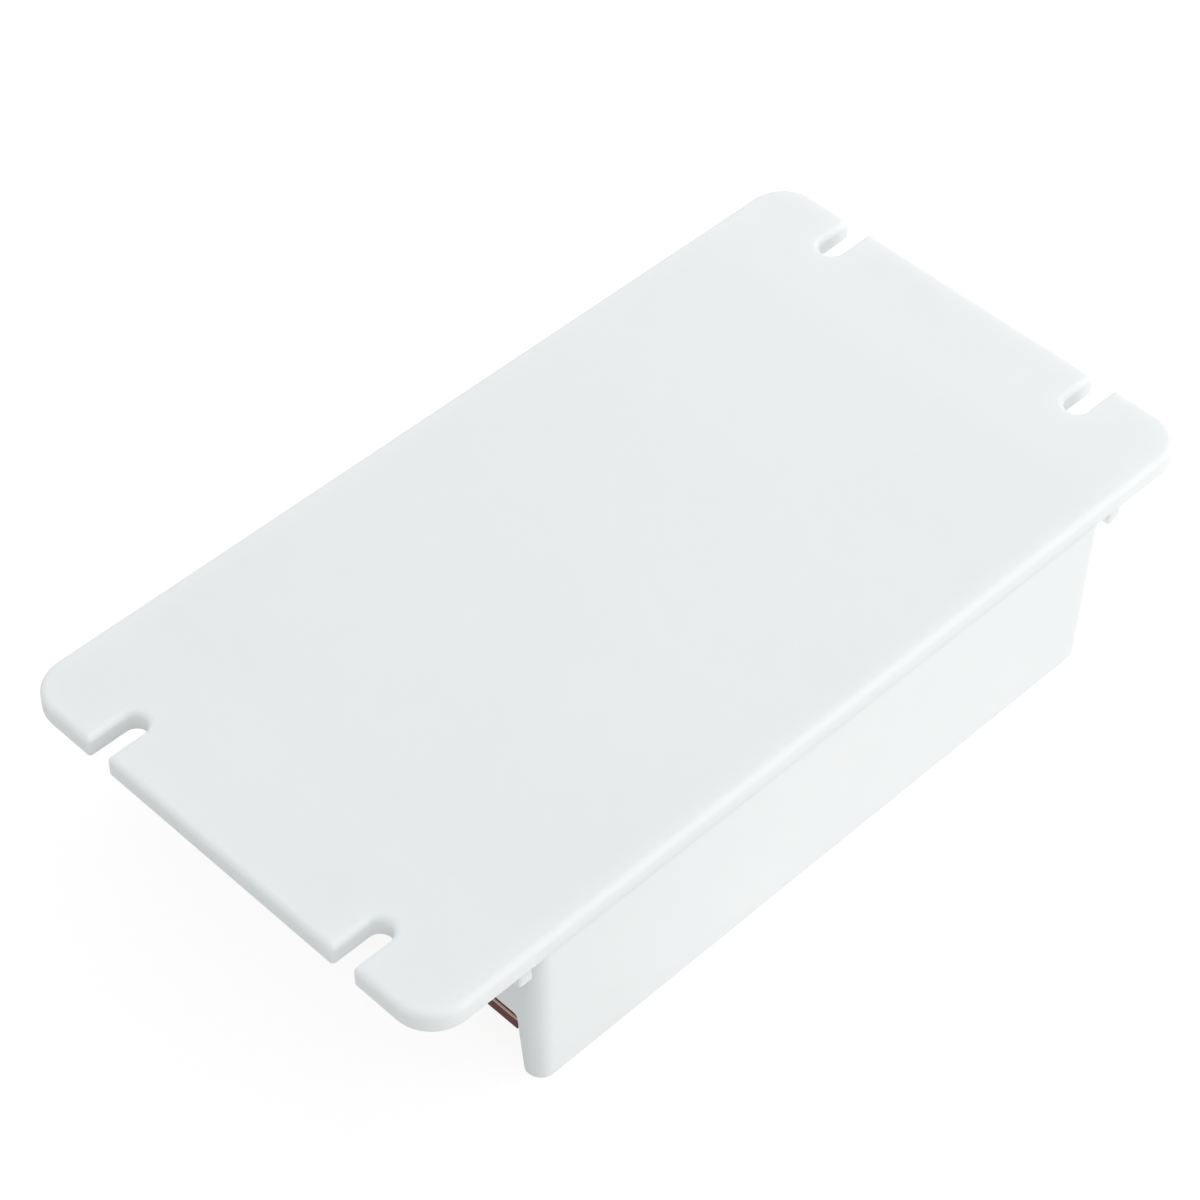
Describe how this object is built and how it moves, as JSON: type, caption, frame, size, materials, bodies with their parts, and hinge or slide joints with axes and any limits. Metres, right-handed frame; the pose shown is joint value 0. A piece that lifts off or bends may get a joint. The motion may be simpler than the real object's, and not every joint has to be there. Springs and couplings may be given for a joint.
{
  "type": "rgb led controller",
  "caption": "Low-voltage lighting controller in a flat white snap-together plastic case, with a slotted mounting plate and wiring bays at both ends.",
  "frame": {"origin": "under the middle of the case, in the plane of the cover's front face, on which it lies", "axes": "+X along the case towards the output end, +Y across it, +Z from the cover's front face to the back of the mounting plate"},
  "size_m": [0.1204, 0.065, 0.0256],
  "materials": {
    "white_plastic": "satin moulded plastic",
    "board": "paper and resin laminate",
    "green_plastic": "moulded",
    "steel": "plated",
    "black_plastic": "moulded, matt",
    "can": "shrunk sleeve",
    "resistor": "lacquer",
    "radio_board": "solder mask",
    "copper": "drawn wire"
  },
  "bodies": {
    "root": {"base_plate": "white_plastic", "top_cover": "white_plastic", "circuit_board": "board", "input_terminal_block": "green_plastic", "output_terminal_block": "green_plastic", "input_wire_clamp_1": "steel", "input_wire_clamp_2": "steel", "output_wire_clamp_1": "steel", "output_wire_clamp_2": "steel", "output_wire_clamp_3": "steel", "output_wire_clamp_4": "steel", "input_clamp_screw_1": "steel", "input_clamp_screw_2": "steel", "output_clamp_screw_1": "steel", "output_clamp_screw_2": "steel", "output_clamp_screw_3": "steel", "output_clamp_screw_4": "steel", "red_transistor": "black_plastic", "green_transistor": "black_plastic", "blue_transistor": "black_plastic", "gate_resistor_1": "resistor", "gate_resistor_2": "resistor", "gate_resistor_3": "resistor", "voltage_regulator": "black_plastic", "reservoir_capacitor": "can", "filter_capacitor": "can", "protection_diode": "black_plastic", "microcontroller": "black_plastic", "memory_chip": "black_plastic", "crystal": "steel", "radio_board": "radio_board", "radio_chip": "black_plastic", "radio_header": "black_plastic", "antenna": "copper"}
  },
  "joints": []
}
